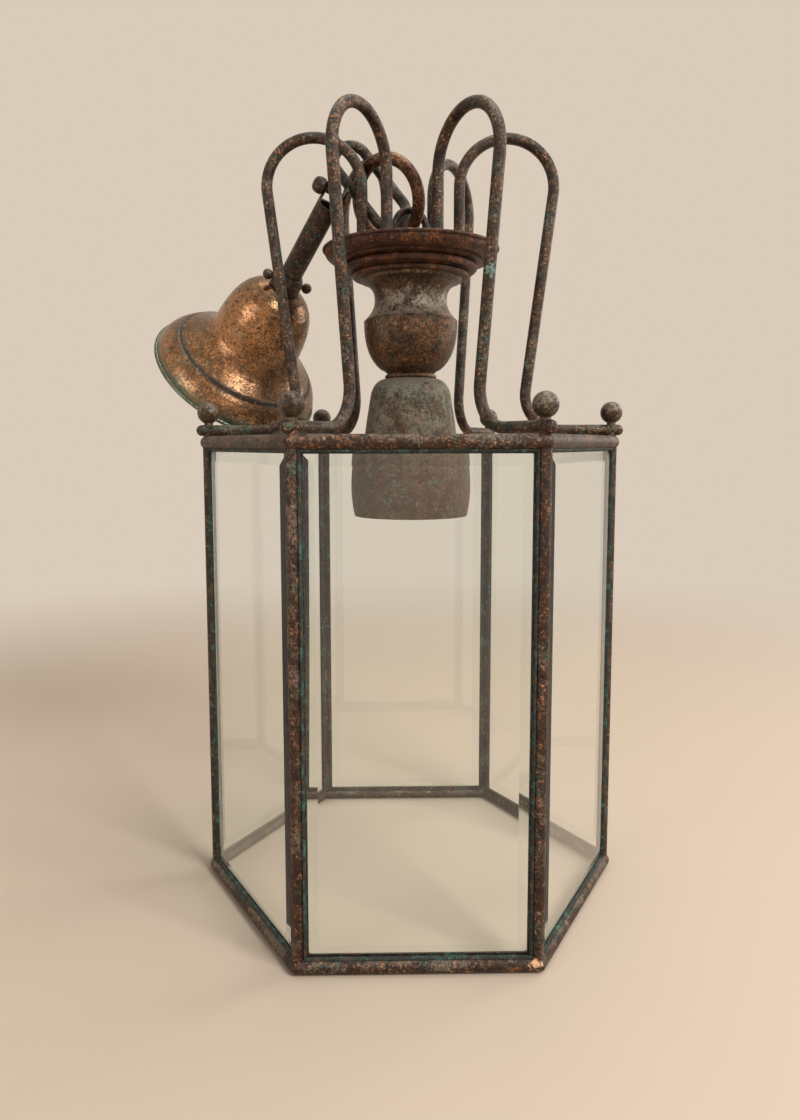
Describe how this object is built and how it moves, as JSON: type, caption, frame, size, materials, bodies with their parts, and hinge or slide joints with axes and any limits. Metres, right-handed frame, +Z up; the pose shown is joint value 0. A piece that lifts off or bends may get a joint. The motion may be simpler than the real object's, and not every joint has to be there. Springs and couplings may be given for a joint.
{
  "type": "hanging hall lantern",
  "caption": "Six-sided glazed hall lantern with curved rod arms, a turned vase crown and a lamp holder; its hanging ring, link, stem and bell canopy lie against the arms.",
  "frame": {"origin": "on the axis of the six-sided cage, in the plane that the underside of the bottom ring stands on", "axes": "+Z up along the lantern's axis, +X towards the corner with post_1 and arm_1, +Y towards pane_2"},
  "size_m": [0.3611, 0.2875, 0.5534],
  "materials": {
    "cage_brass": "dark brown aged brass with worn edges and traces of verdigris",
    "strip_brass": "dull brown brass strip",
    "clear_glass": "clear bevelled plate glass with a green tint at the edges",
    "arm_brass": "grey-brown patina, orange where worn, specks of verdigris",
    "finial_brass": "smooth grey-brown patina",
    "fastener_brass": "dull brass",
    "crown_copper": "dark rusty brown, streaked",
    "neck_brass": "grey satin patina",
    "cup_brass": "mottled brown and grey patina",
    "cover_brass": "matt grey-green patina above, brown below",
    "eye_brass": "grey patina",
    "holder_brass": "plain brass",
    "ring_copper": "rubbed copper brown",
    "link_brass": "dark grey-brown patina",
    "stem_brass": "grey-brown patina, dark at the top",
    "canopy_copper": "rubbed copper with speckled brown patina"
  },
  "bodies": {
    "lantern": {"bottom_ring": "cage_brass", "top_ring": "cage_brass", "post_1": "cage_brass", "post_2": "cage_brass", "post_3": "cage_brass", "post_4": "cage_brass", "post_5": "cage_brass", "post_6": "cage_brass", "glazing_frame_1": "strip_brass", "glazing_frame_2": "strip_brass", "glazing_frame_3": "strip_brass", "glazing_frame_4": "strip_brass", "glazing_frame_5": "strip_brass", "glazing_frame_6": "strip_brass", "pane_1": "clear_glass", "pane_2": "clear_glass", "pane_3": "clear_glass", "pane_4": "clear_glass", "pane_5": "clear_glass", "pane_6": "clear_glass", "arm_1": "arm_brass", "arm_2": "arm_brass", "arm_3": "arm_brass", "arm_4": "arm_brass", "arm_5": "arm_brass", "arm_6": "arm_brass", "finials": "finial_brass", "arm_nuts": "fastener_brass", "crown_plate": "crown_copper", "crown_dish": "crown_copper", "vase_neck": "neck_brass", "vase_cup": "cup_brass", "spacer_collar": "cup_brass", "lamp_cover": "cover_brass", "centre_tube": "fastener_brass", "tube_nuts": "fastener_brass", "crown_eye": "eye_brass", "holder_cap": "holder_brass", "holder_body": "holder_brass", "lamp_thread": "holder_brass", "lamp_contact": "holder_brass"},
    "hanging_ring": {"hanging_ring": "ring_copper"},
    "long_link": {"long_link": "link_brass"},
    "wire_loop": {"wire_loop": "link_brass"},
    "stem": {"stem": "stem_brass", "cross_pin": "finial_brass", "ceiling_loop": "stem_brass"},
    "collar": {"stem_collar": "stem_brass", "collar_screws": "finial_brass"},
    "canopy": {"canopy": "canopy_copper"}
  },
  "joints": [
    {"name": "ring_swing", "type": "hinge", "parent": "lantern", "child": "hanging_ring", "pos_m": [-0.0003, -0.00158, 0.48126], "axis": [0.8, -0.6, 0], "range_deg": [-6, 0.5]},
    {"name": "link_turn", "type": "hinge", "parent": "hanging_ring", "child": "long_link", "pos_m": [-0.00606, 0.00479, 0.4774], "axis": [-0.6, 0.25, 0.76], "range_deg": [-4, 1]},
    {"name": "loop_swing", "type": "hinge", "parent": "long_link", "child": "wire_loop", "pos_m": [-0.05075, 0.01772, 0.54334], "axis": [0.8027, 0.1727, 0.5708], "range_deg": [-1, 8]},
    {"name": "stem_lift", "type": "hinge", "parent": "wire_loop", "child": "stem", "pos_m": [-0.05465, -0.00069, 0.5062], "axis": [-0.8662, -0.292, 0.4056], "range_deg": [-12, 1]},
    {"name": "collar_slide", "type": "slide", "parent": "stem", "child": "collar", "axis": [0.4997, -0.5174, 0.6947], "range_m": [0, 0.02]},
    {"name": "canopy_turn", "type": "hinge", "parent": "collar", "child": "canopy", "pos_m": [-0.1431, 0.0909, 0.38325], "axis": [0.4997, -0.5174, 0.6947], "continuous": true}
  ]
}
